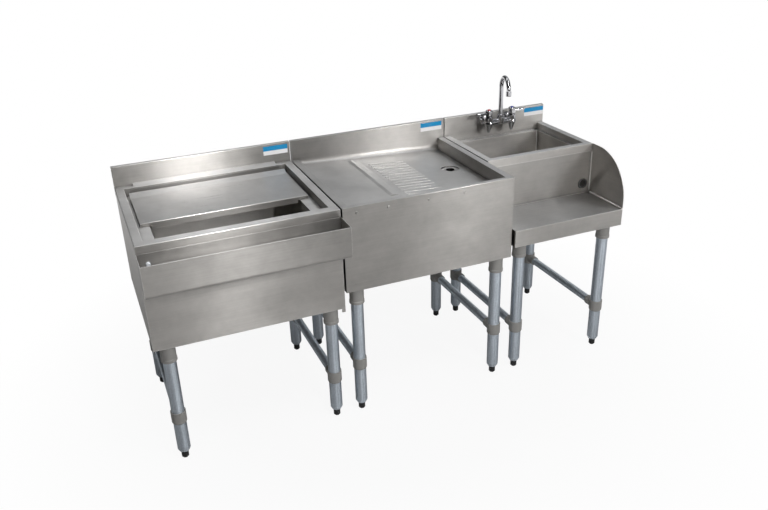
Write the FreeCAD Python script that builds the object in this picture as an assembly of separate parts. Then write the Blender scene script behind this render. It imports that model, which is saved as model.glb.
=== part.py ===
"""Underbar station: an insulated ice bin with a speed rail, a pitched drainboard and a small sink
with a blender shelf, side by side on twelve legs.

Sizes are in millimetres. While the pieces are made, X runs right from each unit's left edge, Y runs
back from the front aprons and Z runs up from the floor. At the end each unit moves to its place, and
the origin is the centre of the station's base.
"""
import FreeCAD, Part
import math
import os

V = FreeCAD.Vector

# ------------------------------------------------------------------ station
unit_gap = 4.8                 # space left between neighbouring units
rim_top = 765.8                # height of every rim
splash_rise = 72.4             # backsplash above the rims
splash_face = 519.4            # backsplash face, back from the front aprons
splash_depth = 14.0            # how far the backsplash is folded back
splash_return = 14.0           # height of the fold down its back
gauge = 1.2                    # thickness of the sheet
bend = 2.0                     # outside radius of the visible folds
apron_height = 28.0            # fold down around every top
play = 0.3                     # clearance between pieces that must not bind
seam = 0.15                    # clearance of a tube in its collar

# ------------------------------------------------------------------ ice bin
bin_width = 609.6
bin_depth = 343.5              # rims down to the underside of the insulated box
bin_side_rim = 28.0
bin_front_rim = 34.0
bin_toe_depth = 24.4           # strip between recess and backsplash
bin_toe_rise = 8.2             # how far that strip climbs to the backsplash
bin_toe_inset = 60.0
recess_depth = 27.8            # rims down to the cover ledges
ledge_width = 38.0
rear_ledge = 25.0
liner_side_draft = 45.0        # how far each side wall leans in, top to floor
liner_end_draft = 8.0
liner_radius = 8.0
liner_flange = 14.0
floor_insulation = 38.0
corner_tab_width = 12.0        # tab left at the front panel's lower right corner
corner_tab_drop = 13.0

rear_cover_front = 236.0
rear_cover_lip = 11.0
rear_cover_inset = 22.0        # from the recess's side walls
rear_upstand = 24.8
rear_upstand_gap = 3.8         # from the recess's rear wall

cover_front = 202.0            # cover's front flange, as photographed
cover_inset = 12.0             # from the recess's side walls
cover_height = 12.0            # top of the cover above the ledges
cover_flange = 20.5
cover_rear_gap = 27.0          # from the cover's rear edge to the recess's rear wall
cover_lip_depth = 32.0
cover_lip_rise = 8.5
cover_flange_gap = 8.0         # from the flange's ends to the ledges

rail_depth = 90.0
rail_drop = 24.8               # rims down to the rail's upper edge
rail_height = 103.0
rail_radius = 14.0
rail_hem = 10.0
rail_stud_across = 29.5
rail_stud_drop = 33.0          # rail's upper edge down to its stud
rail_stud_radius = 3.0
rail_stud_length = 8.0
cap_nut_radius = 7.0
cap_nut_length = 9.0
cap_nut_dome_radius = 4.2

# ------------------------------------------------------------------ drainboard
board_width = 609.6
board_depth = 291.0            # rims down to the lower edge of the skirt
board_side_rim = 25.0
board_front_rim = 18.0
floor_drop_left = 15.8         # rim down to the floor's high end
floor_drop_right = 43.8        # rim down to its low end
floor_cove = 20.0
cross_bead_left = 200.0
cross_bead_right = 240.0
cross_bead_height = 1.4
cross_bead_slope = 12.0
cross_bead_front = 95.0
cross_bead_rear_gap = 29.4     # from the bead's rear end to the backsplash
rib_left = 258.0
rib_right = 392.0
rib_front = 90.0
rib_count = 14
rib_pitch = 25.4
rib_width = 9.0
rib_height = 1.0
rib_round = 0.9
board_drain_inset = 91.6       # drain's axis from the unit's right side
board_drain_back = 285.0
drain_seat_gap = 1.0           # round the drain's flange
drain_seat_drop = 3.4
fall_left = 390.0              # left edge of the creased area that falls towards the drain
fall_depth = 3.0               # how far it falls below the floor's own pitch
fall_front_gap = 30.0          # from the creased area to the front wall
fall_side_gap = 8.0
fall_rear_gap = 62.0           # from the creased area to the backsplash
skirt_hem = 14.0
rear_channel = 40.0
gusset = 110.0
gusset_thickness = 2.5
screw_across = [47.5, 154.0, 294.3, 422.7]
screw_drop = 21.3              # rims down to the screws
screw_radius = 2.4
screw_head_radius = 5.0
screw_dome_radius = 3.5
screw_head_height = 2.0
screw_length = 9.0

# ------------------------------------------------------------------ sink
sink_width = 444.5
sink_front = 186.0             # front panel, back from the neighbours' aprons
sink_rim = 25.0
deck_drop = 24.8               # rim down to the deck around the bowl
bowl_side_ledge = 12.4
bowl_front_ledge = 10.0
bowl_rear_ledge = 24.4
bowl_clearance = 11.0          # bowl's floor above the frame's lower edge
bowl_corner = 6.0
bowl_flange = 8.0
shelf_drop = 190.3             # rims down to the blender shelf
shelf_apron = 61.5
shelf_reach = 200.0
side_splash_round = 161.0
side_splash_tab = 4.5
side_splash_tab_thickness = 1.0
cross_channel = 40.0
grommet_inset = 32.5           # grommet's axis from the unit's right side
grommet_rise = 38.0            # its height above the shelf
grommet_radius = 20.3
grommet_barrel = 17.0
grommet_bore = 14.0
grommet_lip = 3.0
grommet_back_lip = 2.0

# ------------------------------------------------------------------ drains
drain_flange_radius = 32.0
drain_flange_height = 2.0
drain_thread_radius = 22.5     # threaded neck that the locknut runs on
drain_thread = 20.0
drain_tail_radius = 19.05
drain_tail = 32.0              # tail below the threaded neck
drain_bore = 15.5
drain_nut_radius = 29.0
drain_nut_height = 8.0

# ------------------------------------------------------------------ faucet
valve_spread = 101.6
faucet_stand_off = 39.4        # valve axes, forward of the backsplash face
faucet_rise = 45.2             # axis of the body and of the shanks above the rims
casting_edge = 2.0             # rounding at the ends of the faucet's round pieces
body_radius = 12.5
body_sag = 4.0                 # axis of the body below the axes of the shanks
shank_radius = 10.4
shank_bore = 6.0
shank_reach = 32.0             # shank behind the backsplash sheet
escutcheon_radius = 19.0
escutcheon_length = 6.0
barrel_radius = 14.5
barrel_rise = 21.0             # heights of the body, from the axis of the shanks
barrel_drop = 12.0
nose_radius = 4.5
nose_top_radius = 17.5
nose_top_drop = 6.0            # from the axis of the shanks down to the widest part
nose_drop = 43.0
locknut_flats = 27.0
locknut_length = 6.0
shank_relief = 0.9             # depth of the groove behind the locknut
shank_relief_length = 2.5
spout_boss_radius = 15.5
spout_boss_rise = 13.0
spout_nut_radius = 13.0
spout_nut_height = 12.0
spout_socket = 18.0
spout_radius = 8.5
spout_wall = 1.2
spout_fit = 0.08
spout_reach = 88.0
spout_turn = -13.0             # spout swung from straight ahead towards the left, as photographed
spout_arch_rise = 130.0        # arch's centre above the axis of the shanks
spout_drop = 5.0               # arch's centre down to the spout's end
aerator_radius = 10.5
aerator_length = 16.0
aerator_grip = 6.0
handle_radius = 14.0
handle_height = 25.0
handle_edge = 3.0
lever_length = 52.0
lever_width = 20.0
lever_root_width = 7.0
lever_thickness = 8.0
lever_drop = 9.0               # hub top down to the lever's top
lever_round = 2.0
index_radius = 6.5
index_height = 2.4

# ------------------------------------------------------------------ bolts between the units
join_drop = 13.8               # rims down to the bolts
join_front = 260.0
join_rear_setback = 49.4       # rear bolts, forward of the backsplash face
join_radius = 3.0
join_head_radius = 5.5
join_head_length = 4.0
join_spacer_radius = 8.0

# ------------------------------------------------------------------ labels
label_width = 88.0
label_height = 32.0
label_drop = 7.2               # backsplash's top down to the label
label_thickness = 0.4
bin_label_inset = 8.0
board_label_inset = 9.5
sink_label_inset = 1.5

# ------------------------------------------------------------------ legs
leg_radius = 20.65
leg_wall = 1.5
leg_inset = 44.0               # leg axes from a unit's sides
front_leg = 29.0               # front leg axes, back from the front aprons
rear_leg_setback = 38.4        # rear leg axes, forward of the rear plane
leg_end = 27.0
leg_end_radius = 15.5
leg_taper = 10.0
leg_plug = 34.0
socket_wall = 3.2
socket_ring_wall = 4.4
socket_ring_height = 9.0
socket_height = 54.0
socket_roof = 4.0
tee_wall = 3.05
tee_height = 41.5
tee_chamfer = 4.0
tee_boss_wall = 3.35
tee_reach = 46.0
brace_radius = 14.3
brace_wall = 1.5
bin_tee_height = 160.0
board_tee_height = 188.0
sink_tee_height = 175.0
foot_radius = 11.5
foot_tip_radius = 8.0
foot_tip_height = 4.0
foot_stem_radius = 8.0
foot_stem_length = 38.0
foot_fit = 0.08

# ------------------------------------------------------------------ places worked out from these
splash_top = rim_top + splash_rise
splash_rear = splash_face + splash_depth
apron_bottom = rim_top - apron_height
bin_bottom = rim_top - bin_depth
ledge_top = rim_top - recess_depth
recess_rear = splash_face - bin_toe_depth
well_left = bin_side_rim + ledge_width
well_right = bin_width - well_left
well_front = bin_front_rim
well_rear = recess_rear - rear_ledge
well_floor = bin_bottom + gauge + floor_insulation + gauge
cover_lip_end = recess_rear - cover_rear_gap
cover_lip_start = cover_lip_end - cover_lip_depth
rail_top = rim_top - rail_drop
rail_bottom = rail_top - rail_height
rail_stud_height = rail_top - rail_stud_drop
board_bottom = rim_top - board_depth
cross_bead_back = splash_face - cross_bead_rear_gap
board_drain_across = board_width - board_drain_inset
drain_seat_radius = drain_flange_radius + drain_seat_gap
screw_height = rim_top - screw_drop
shelf_top = rim_top - shelf_drop
sink_bottom = shelf_top - shelf_apron
deck_top = rim_top - deck_drop
bowl_left = sink_rim + bowl_side_ledge
bowl_right = sink_width - bowl_left
bowl_front = sink_front + sink_rim + bowl_front_ledge
bowl_rear = splash_face - bowl_rear_ledge
bowl_floor = sink_bottom + bowl_clearance
shelf_front = sink_front - shelf_reach
grommet_across = sink_width - grommet_inset
grommet_height = shelf_top + grommet_rise
faucet_back = splash_face - faucet_stand_off
faucet_height = rim_top + faucet_rise
barrel_top = faucet_height + barrel_rise
barrel_bottom = faucet_height - barrel_drop
spout_boss_top = faucet_height + spout_boss_rise
spout_arch_centre = faucet_height + spout_arch_rise
spout_tip = spout_arch_centre - spout_drop
join_height = rim_top - join_drop
join_rear = splash_face - join_rear_setback
label_bottom = splash_top - label_drop - label_height
socket_radius = leg_radius + seam + socket_wall
socket_ring_radius = leg_radius + seam + socket_ring_wall
tee_radius = leg_radius + seam + tee_wall
tee_boss_radius = brace_radius + seam + tee_boss_wall
rear_leg = splash_rear - rear_leg_setback
board_left = bin_width + unit_gap
sink_left = board_left + board_width + unit_gap
total_length = sink_left + sink_width
total_front = -rail_depth
total_rear = splash_face + gauge + shank_reach

parts = {}


# ------------------------------------------------------------------ making shapes
def block(x0, x1, y0, y1, z0, z1):
    return Part.makeBox(x1 - x0, y1 - y0, z1 - z0, V(x0, y0, z0))


def rod(radius, start, direction, length):
    return Part.makeCylinder(radius, length, start, direction)


def prism(points, along):
    """Solid from a closed outline of vectors, drawn out along a vector."""
    return Part.Face(Part.makePolygon(points + [points[0]])).extrude(along)


def profile_x(outline, x0, x1):
    """Solid from an outline of (y, z) places, drawn out along X."""
    return prism([V(x0, y, z) for y, z in outline], V(x1 - x0, 0, 0))


def profile_y(outline, y0, y1):
    """Solid from an outline of (x, z) places, drawn out along Y."""
    return prism([V(x, y0, z) for x, z in outline], V(0, y1 - y0, 0))


def profile_z(outline, z0, z1):
    """Solid from an outline of (x, y) places, drawn out along Z."""
    return prism([V(x, y, z0) for x, y in outline], V(0, 0, z1 - z0))


def turned(outline, x=0.0, y=0.0):
    """Solid turned about a vertical axis from an outline of (radius, z) places."""
    wire = Part.makePolygon([V(r, 0, z) for r, z in outline + [outline[0]]])
    solid = Part.Face(wire).revolve(V(0, 0, 0), V(0, 0, 1), 360)
    solid.translate(V(x, y, 0))
    return solid


def turned_y(outline, x, z):
    """Solid turned about an axis along Y from an outline of (radius, y) places."""
    wire = Part.makePolygon([V(r, y, 0) for r, y in outline + [outline[0]]])
    solid = Part.Face(wire).revolve(V(0, 0, 0), V(0, 1, 0), 360)
    solid.translate(V(x, 0, z))
    return solid


def joined(pieces):
    return pieces[0].multiFuse(pieces[1:]).removeSplitter()


def edges_through(shape, points):
    """Edges of a shape that pass through the given points."""
    reach = 0.01
    found = []
    for point in points:
        spot = Part.Vertex(point)
        near = [e for e in shape.Edges if e.distToShape(spot)[0] < reach]
        found.extend(near)
    return found


def rounded(shape, radius, points):
    return shape.makeFillet(radius, edges_through(shape, points))


def folded(outline, x0, x1):
    """Folded sheet drawn out along X from the (y, z) path of its upper skin.

    The sheet lies on the right of the path, and every fold is rounded inside and outside.
    """
    skin = [V(0, y, z) for y, z in outline]
    runs = [(b - a).normalize() for a, b in zip(skin, skin[1:])]
    sides = [V(0, run.z, -run.y) for run in runs]
    back = [skin[0] + sides[0] * gauge]
    for corner, before, after in zip(skin[1:], sides, sides[1:]):
        back.append(corner + (before + after) * (gauge / (1 + before.dot(after))))
    back.append(skin[-1] + sides[-1] * gauge)
    face = Part.Face(Part.makePolygon(skin + back[::-1] + [skin[0]]))
    solid = face.extrude(V(x1 - x0, 0, 0))
    solid.translate(V(x0, 0, 0))
    for outer, inner, before, after in zip(skin[1:-1], back[1:-1], sides, sides[1:]):
        turns_down = before.cross(after).x < 0
        radii = (bend, bend - gauge) if turns_down else (bend - gauge, bend)
        for corner, radius in zip((outer, inner), radii):
            middle = V((x0 + x1) / 2, corner.y, corner.z)
            solid = rounded(solid, radius, [middle])
    return solid


# ------------------------------------------------------------------ pieces that every unit has
def splashed_top(width, front):
    """Rim sheet with its folded aprons and the backsplash that rises from its rear."""
    middle = width / 2
    outer = joined([
        block(0, width, front, splash_rear, apron_bottom, rim_top),
        block(0, width, splash_face, splash_rear, apron_bottom, splash_top),
    ])
    outer = rounded(outer, bend, [
        V(middle, front, rim_top),
        V(0, front + 1, rim_top),
        V(width, front + 1, rim_top),
        V(0, front, rim_top - 1 - bend),
        V(width, front, rim_top - 1 - bend),
        V(middle, splash_face, splash_top),
    ])
    under_rim = block(gauge, width - gauge, front + gauge, splash_rear + gauge,
                      apron_bottom - gauge, rim_top - gauge)
    behind_splash = block(gauge, width - gauge, splash_face + gauge, splash_rear + gauge,
                          rim_top - 2 * gauge, splash_top - splash_return)
    inside_cap = block(gauge, width - gauge, splash_face + gauge, splash_rear - gauge,
                       splash_top - splash_return - gauge, splash_top - gauge)
    return outer.cut(under_rim).cut(behind_splash).cut(inside_cap)


def sunk(top, hollow, shell, rim_edges):
    """Top with a recess pressed into it, its upper edges rounded."""
    pan = top.cut(hollow).fuse(shell.cut(hollow)).removeSplitter()
    return rounded(pan, bend, rim_edges)


def with_join_holes(sheet, side):
    """Sheet with clearance holes for the joining bolts through its wall at the given x."""
    for y in (join_front, join_rear):
        sheet = sheet.cut(rod(join_radius + play, V(side - 3 * gauge, y, join_height),
                              V(1, 0, 0), 6 * gauge))
    return sheet


def joining_bolt(gap_left, y):
    """Bolt through two neighbouring side walls, with a head, a nut and a spacer in the gap."""
    grip = 2 * gauge
    along = V(1, 0, 0)
    gap_right = gap_left + unit_gap
    return joined([
        rod(join_radius, V(gap_left - grip, y, join_height), along, unit_gap + 2 * grip),
        rod(join_spacer_radius, V(gap_left, y, join_height), along, unit_gap),
        rod(join_head_radius, V(gap_left - grip - join_head_length, y, join_height), along,
            join_head_length),
        rod(join_head_radius, V(gap_right + grip, y, join_height), along, join_head_length),
    ])


def label(width, inset):
    right = width - inset
    return block(right - label_width, right, splash_face - label_thickness, splash_face,
                 label_bottom, label_bottom + label_height)


def leg_places(width):
    """Leg axes of one unit: front left, front right, rear left, rear right."""
    across = (leg_inset, width - leg_inset)
    return [(x, y) for y in (front_leg, rear_leg) for x in across]


def leg(x, y, base):
    """Leg tube up to its socket's roof, with a tapered end that the foot screws into."""
    top = base - socket_roof
    bore = foot_stem_radius + foot_fit
    return turned([
        (bore, leg_end),
        (leg_end_radius, leg_end),
        (leg_radius, leg_end + leg_taper),
        (leg_radius, top),
        (leg_radius - leg_wall, top),
        (leg_radius - leg_wall, leg_end + leg_plug),
        (bore, leg_end + leg_plug),
    ], x, y)


def leg_socket(x, y, base):
    bottom = base - socket_height
    bore = leg_radius + seam
    step = socket_ring_radius - socket_radius
    return turned([
        (bore, bottom),
        (socket_ring_radius, bottom),
        (socket_ring_radius, bottom + socket_ring_height),
        (socket_radius, bottom + socket_ring_height + step),
        (socket_radius, base),
        (0, base),
        (0, base - socket_roof),
        (bore, base - socket_roof),
    ], x, y)


def leg_tee(x, y, height):
    """Collar on a leg, with a boss towards the other leg of the same side."""
    inward = 1 if y < (front_leg + rear_leg) / 2 else -1
    bottom = height - tee_height / 2
    bore = leg_radius + seam
    ring = turned([
        (bore, bottom),
        (tee_radius - tee_chamfer / 2, bottom),
        (tee_radius, bottom + tee_chamfer),
        (tee_radius, bottom + tee_height),
        (bore, bottom + tee_height),
    ], x, y)
    aim = V(0, inward, 0)
    centre = V(x, y, height)
    boss = rod(tee_boss_radius, centre, aim, tee_reach)
    leg_room = rod(bore, V(x, y, bottom), V(0, 0, 1), tee_height)
    brace_room = rod(brace_radius + seam, centre + aim * brace_start(), aim, tee_reach)
    return joined([ring, boss]).cut(leg_room).cut(brace_room)


def brace_start():
    """Distance from a leg's axis to the end of its brace."""
    return tee_radius + play


def leg_brace(x, height):
    start = V(x, front_leg + brace_start(), height)
    length = rear_leg - front_leg - 2 * brace_start()
    outside = rod(brace_radius, start, V(0, 1, 0), length)
    return outside.cut(rod(brace_radius - brace_wall, start, V(0, 1, 0), length))


def foot(x, y):
    """Levelling foot: a round plastic tip on the stem that screws into the leg."""
    shoulder = leg_end - play
    return turned([
        (0, 0),
        (foot_tip_radius, 0),
        (foot_radius, foot_tip_height),
        (foot_radius, shoulder),
        (foot_stem_radius, shoulder),
        (foot_stem_radius, shoulder + foot_stem_length),
        (0, shoulder + foot_stem_length),
    ], x, y)


def leg_set(unit, width, base, tee):
    """All legs, collars, braces and feet of one unit."""
    places = leg_places(width)
    names = ["front_left", "front_right", "rear_left", "rear_right"]
    sides = (leg_inset, width - leg_inset)
    made = {
        unit + "_leg_sockets": Part.makeCompound([leg_socket(x, y, base) for x, y in places]),
        unit + "_legs": Part.makeCompound([leg(x, y, base) for x, y in places]),
        unit + "_leg_tees": Part.makeCompound([leg_tee(x, y, tee) for x, y in places]),
        unit + "_leg_braces": Part.makeCompound([leg_brace(x, tee) for x in sides]),
    }
    for name, (x, y) in zip(names, places):
        made[unit + "_foot_" + name] = foot(x, y)
    return made


def drain(x, y, seat, clamped):
    """Flanged drain with an open mouth.

    Its threaded neck reaches from the seat through to below the clamped surface, and its tail
    hangs from the neck.
    """
    top = seat + drain_flange_height
    neck = clamped - drain_thread
    return turned([
        (drain_bore, neck - drain_tail),
        (drain_tail_radius, neck - drain_tail),
        (drain_tail_radius, neck),
        (drain_thread_radius, neck),
        (drain_thread_radius, seat),
        (drain_flange_radius, seat),
        (drain_flange_radius, top - drain_flange_height / 2),
        (drain_thread_radius, top),
        (drain_bore, top - drain_flange_height / 2),
    ], x, y)


def drain_nut(x, y, clamped):
    """Round locknut under the surface at the given height."""
    bore = drain_thread_radius + seam
    bottom = clamped - drain_nut_height
    return turned([
        (bore, bottom),
        (drain_nut_radius, bottom),
        (drain_nut_radius, clamped),
        (bore, clamped),
    ], x, y)


# ------------------------------------------------------------------ ice bin
def bin_top():
    """Rim, cover ledges and backsplash of the ice bin."""
    left = bin_side_rim
    right = bin_width - bin_side_rim
    over = rim_top + gauge
    hollow = block(left, right, bin_front_rim, recess_rear, ledge_top, over)
    shell = block(left - gauge, right + gauge, bin_front_rim - gauge, recess_rear + gauge,
                  ledge_top - gauge, rim_top)
    across = bin_width / 2
    along = (bin_front_rim + recess_rear) / 2
    top = sunk(splashed_top(bin_width, 0), hollow, shell, [
        V(across, bin_front_rim, rim_top),
        V(left, along, rim_top),
        V(right, along, rim_top),
    ])
    well = block(well_left, well_right, well_front, well_rear, ledge_top - 2 * gauge, ledge_top)
    toe = profile_x([
        (recess_rear + gauge, rim_top),
        (splash_face, rim_top),
        (splash_face, rim_top + bin_toe_rise),
    ], bin_toe_inset, bin_width - bin_toe_inset)
    return joined([top.cut(well), toe])


def well_solid(skin, is_round=True):
    """The ice well as a tapered block, grown by the given wall thickness."""
    def level(inset_x, inset_y, z):
        x0 = well_left - skin + inset_x
        x1 = well_right + skin - inset_x
        y0 = well_front - skin + inset_y
        y1 = well_rear + skin - inset_y
        corners = [V(x0, y0, z), V(x1, y0, z), V(x1, y1, z), V(x0, y1, z)]
        return Part.makePolygon(corners + [corners[0]])
    mouth = ledge_top - gauge
    floor = level(liner_side_draft, liner_end_draft, well_floor - skin)
    solid = Part.makeLoft([floor, level(0, 0, mouth)], True, True)
    if not is_round:
        return solid
    low = [e for e in solid.Edges if e.BoundBox.ZMax < mouth - gauge]
    upright = [e for e in solid.Edges if e.BoundBox.ZLength > gauge]
    return solid.makeFillet(liner_radius + skin, low + upright)


def bin_drain_place():
    return bin_width / 2, (well_front + well_rear) / 2


def bin_liner():
    mouth = ledge_top - gauge
    flange = block(well_left - liner_flange, well_right + liner_flange,
                   well_front - liner_flange, well_rear + liner_flange, mouth - gauge, mouth)
    x, y = bin_drain_place()
    hole = rod(drain_thread_radius + play, V(x, y, well_floor - 2 * gauge), V(0, 0, 1), 3 * gauge)
    return joined([well_solid(gauge), flange]).cut(well_solid(0)).cut(hole)


def bin_shell():
    """Outer box of the bin, with the stud that carries the speed rail."""
    outer = block(gauge, bin_width - gauge, gauge, splash_rear, bin_bottom, rim_top - gauge)
    inner = block(2 * gauge, bin_width - 2 * gauge, 2 * gauge, splash_rear - gauge,
                  bin_bottom + gauge, rim_top)
    tab = block(bin_width - gauge - corner_tab_width, bin_width - gauge, gauge, 2 * gauge,
                bin_bottom - corner_tab_drop, bin_bottom)
    stud = rod(rail_stud_radius, V(rail_stud_across, 2 * gauge, rail_stud_height),
               V(0, -1, 0), 2 * gauge + rail_stud_length)
    x, y = bin_drain_place()
    hole = rod(drain_thread_radius + play, V(x, y, bin_bottom - gauge), V(0, 0, 1), 3 * gauge)
    return joined([outer.cut(inner), tab, stud]).cut(hole)


def bin_insulation():
    """Foam between shell and liner, which leaves the liner's rounded edges free."""
    foam = block(2 * gauge, bin_width - 2 * gauge, 2 * gauge, splash_rear - gauge,
                 bin_bottom + gauge, ledge_top - 2 * gauge)
    x, y = bin_drain_place()
    hole = rod(drain_thread_radius + play, V(x, y, bin_bottom), V(0, 0, 1),
               well_floor - bin_bottom)
    return foam.cut(well_solid(gauge, is_round=False)).cut(hole)


def rear_cover():
    """Sheet that lies on the ledges behind the sliding cover, with a low upstand at its rear."""
    left = bin_side_rim + rear_cover_inset
    right = bin_width - left
    rear = recess_rear - rear_upstand_gap
    top = ledge_top + gauge
    lip_left = well_left + cover_flange_gap
    sheet = folded([
        (rear_cover_front, ledge_top - rear_cover_lip),
        (rear_cover_front, top),
        (rear - gauge, top),
        (rear - gauge, top + rear_upstand),
    ], left, right)
    ledge_room = ledge_top - rear_cover_lip - gauge
    for x0, x1 in ((left, lip_left), (bin_width - lip_left, right)):
        sheet = sheet.cut(block(x0, x1, rear_cover_front, rear, ledge_room, ledge_top))
    return sheet


def sliding_cover():
    """Cover that slides on the ledges: front flange, side skirts and a raised rear lip."""
    left = bin_side_rim + cover_inset
    right = bin_width - left
    top = ledge_top + cover_height
    foot_level = ledge_top + play
    flange_left = well_left + cover_flange_gap
    sheet = folded([
        (cover_front, top - cover_flange),
        (cover_front, top),
        (cover_lip_start, top),
        (cover_lip_end, top + cover_lip_rise),
    ], left, right)
    low = top - cover_flange - gauge
    for x0, x1 in ((left, flange_left), (bin_width - flange_left, right)):
        sheet = sheet.cut(block(x0, x1, cover_front, cover_lip_end, low, foot_level))
    skirts = [block(x0, x0 + gauge, cover_front + bend, cover_lip_start, foot_level, top - bend / 2)
              for x0 in (left, right - gauge)]
    return joined([sheet] + skirts)


def speed_rail():
    """Open bottle trough along the front, closed at both ends."""
    top = rail_top
    outer = block(0, bin_width, -rail_depth, 0, rail_bottom, top)
    outer = rounded(outer, rail_radius, [V(bin_width / 2, -rail_depth, rail_bottom)])
    inner = block(gauge, bin_width - gauge, gauge - rail_depth, -gauge, rail_bottom + gauge, top)
    inner = rounded(inner, rail_radius - gauge,
                    [V(bin_width / 2, gauge - rail_depth, rail_bottom + gauge)])
    hem = block(gauge, bin_width - gauge, gauge - rail_depth, 2 * gauge - rail_depth,
                top - rail_hem, top)
    hole = rod(rail_stud_radius + play, V(rail_stud_across, -2 * gauge, rail_stud_height),
               V(0, 1, 0), 3 * gauge)
    return joined([outer.cut(inner), hem]).cut(hole)


def rail_cap_nut():
    """Domed plastic nut on the rail's stud."""
    face = -gauge
    dome = face - cap_nut_length
    bore = rail_stud_radius + foot_fit
    blind = -rail_stud_length - play
    return turned_y([
        (bore, face),
        (cap_nut_radius, face),
        (cap_nut_radius, face - cap_nut_length / 2),
        (cap_nut_dome_radius, dome),
        (0, dome),
        (0, blind),
        (bore, blind),
    ], rail_stud_across, rail_stud_height)


# ------------------------------------------------------------------ drainboard
def floor_height(x):
    """Height of the drainboard's pitched floor, without its beads."""
    share = (x - board_side_rim) / (board_width - 2 * board_side_rim)
    return rim_top - floor_drop_left - share * (floor_drop_right - floor_drop_left)


def pitched(x0, x1, y0, y1, top, sink=0.0):
    """Block whose underside follows the floor, lowered by a given amount."""
    return profile_y([
        (x0, floor_height(x0) - sink),
        (x1, floor_height(x1) - sink),
        (x1, top),
        (x0, top),
    ], y0, y1)


def bead(x0, x1, y0, y1):
    """Raised rib along X on the pitched floor."""
    solid = profile_y([
        (x0, floor_height(x0) - gauge / 2),
        (x1, floor_height(x1) - gauge / 2),
        (x1, floor_height(x1) + rib_height),
        (x0, floor_height(x0) + rib_height),
    ], y0, y1)
    middle = (x0 + x1) / 2
    high = floor_height(middle) + rib_height
    return rounded(solid, rib_round, [V(middle, y0, high), V(middle, y1, high)])


def drain_fall(sink=0.0):
    """Upside-down pyramid on the floor: its four creases run down to the drain."""
    right = board_width - board_side_rim - fall_side_gap
    front = board_front_rim + fall_front_gap
    rear = splash_face - fall_rear_gap
    around = [(fall_left, front), (right, front), (right, rear), (fall_left, rear)]
    base = [V(x, y, floor_height(x) - sink) for x, y in around]
    x = board_drain_across
    tip = V(x, board_drain_back, floor_height(x) - fall_depth - sink)
    sides = [Part.Face(Part.makePolygon([a, b, tip, a]))
             for a, b in zip(base, base[1:] + base[:1])]
    lid = Part.Face(Part.makePolygon(base + [base[0]]))
    return Part.makeSolid(Part.makeShell(sides + [lid]))


def drainboard_top():
    """Rim, pitched floor with ribs, drain seat and backsplash of the drainboard."""
    left = board_side_rim
    right = board_width - board_side_rim
    front = board_front_rim
    hollow = pitched(left, right, front, splash_face, rim_top + gauge)
    shell = pitched(left - gauge, right + gauge, front - gauge, splash_face + gauge,
                    rim_top, gauge)
    along = (front + splash_face) / 2
    across = board_width / 2
    top = sunk(splashed_top(board_width, 0), hollow, shell, [
        V(across, front, rim_top),
        V(left, along, rim_top),
        V(right, along, rim_top),
    ])
    top = rounded(top, floor_cove, [V(across, splash_face, floor_height(across))])
    cross_bead = profile_y([
        (cross_bead_left, floor_height(cross_bead_left) - gauge / 2),
        (cross_bead_left, floor_height(cross_bead_left)),
        (cross_bead_left + cross_bead_slope,
         floor_height(cross_bead_left) + cross_bead_height),
        (cross_bead_right - cross_bead_slope,
         floor_height(cross_bead_right) + cross_bead_height),
        (cross_bead_right, floor_height(cross_bead_right)),
        (cross_bead_right, floor_height(cross_bead_right) - gauge / 2),
    ], cross_bead_front, cross_bead_back)
    ribs = []
    for number in range(rib_count):
        middle = rib_front + number * rib_pitch
        ribs.append(bead(rib_left, rib_right, middle - rib_width / 2, middle + rib_width / 2))
    top = top.fuse(drain_fall(gauge)).cut(drain_fall())
    top = joined([top, cross_bead] + ribs)
    x, y, seat = board_drain_place()
    up = V(0, 0, 1)
    sunk_by = fall_depth + drain_seat_drop
    drain_hole = rod(drain_seat_radius, V(x, y, seat), up, sunk_by + 2 * gauge)
    cup = rod(drain_seat_radius + gauge, V(x, y, seat - gauge), up, drain_seat_drop + gauge)
    tail_hole = rod(drain_thread_radius + play, V(x, y, seat - 2 * gauge), up, 3 * gauge)
    top = joined([top, cup.cut(hollow)]).cut(drain_hole).cut(tail_hole)
    return with_screw_holes(top)


def board_drain_place():
    x = board_drain_across
    return x, board_drain_back, floor_height(x) - fall_depth - drain_seat_drop


def corner_gussets(width, front, base):
    """Four triangular plates that close a unit's lower corners over the leg sockets."""
    x0 = 2 * gauge
    x1 = width - 2 * gauge
    y0 = front
    y1 = splash_rear - gauge
    corners = [(x0, y0, 1, 1), (x1, y0, -1, 1), (x0, y1, 1, -1), (x1, y1, -1, -1)]
    return [profile_z([(x, y), (x + gusset * dx, y), (x, y + gusset * dy)],
                      base, base + gusset_thickness) for x, y, dx, dy in corners]


def drainboard_body():
    """Skirt below the drainboard: front and side panels, rear channel, hem and gussets."""
    right = board_width - gauge
    outer = block(gauge, right, gauge, splash_rear, board_bottom, rim_top - gauge)
    inner = block(2 * gauge, right - gauge, 2 * gauge, splash_rear - gauge,
                  board_bottom - gauge, rim_top)
    open_back = block(2 * gauge, right - gauge, splash_rear - 2 * gauge, splash_rear + gauge,
                      board_bottom + rear_channel, rim_top)
    hem = block(gauge, right, gauge, splash_rear, board_bottom, board_bottom + gauge)
    hem_hole = block(gauge + skirt_hem, right - skirt_hem, gauge + skirt_hem,
                     splash_rear - skirt_hem, board_bottom - gauge, board_bottom + 2 * gauge)
    skirt = outer.cut(inner).cut(open_back)
    gussets = corner_gussets(board_width, 2 * gauge, board_bottom)
    return with_screw_holes(joined([skirt, hem.cut(hem_hole)] + gussets))


def with_screw_holes(sheet):
    for x in screw_across:
        hole = rod(screw_radius + seam, V(x, -gauge, screw_height), V(0, 1, 0), 4 * gauge)
        sheet = sheet.cut(hole)
    return sheet


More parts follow.
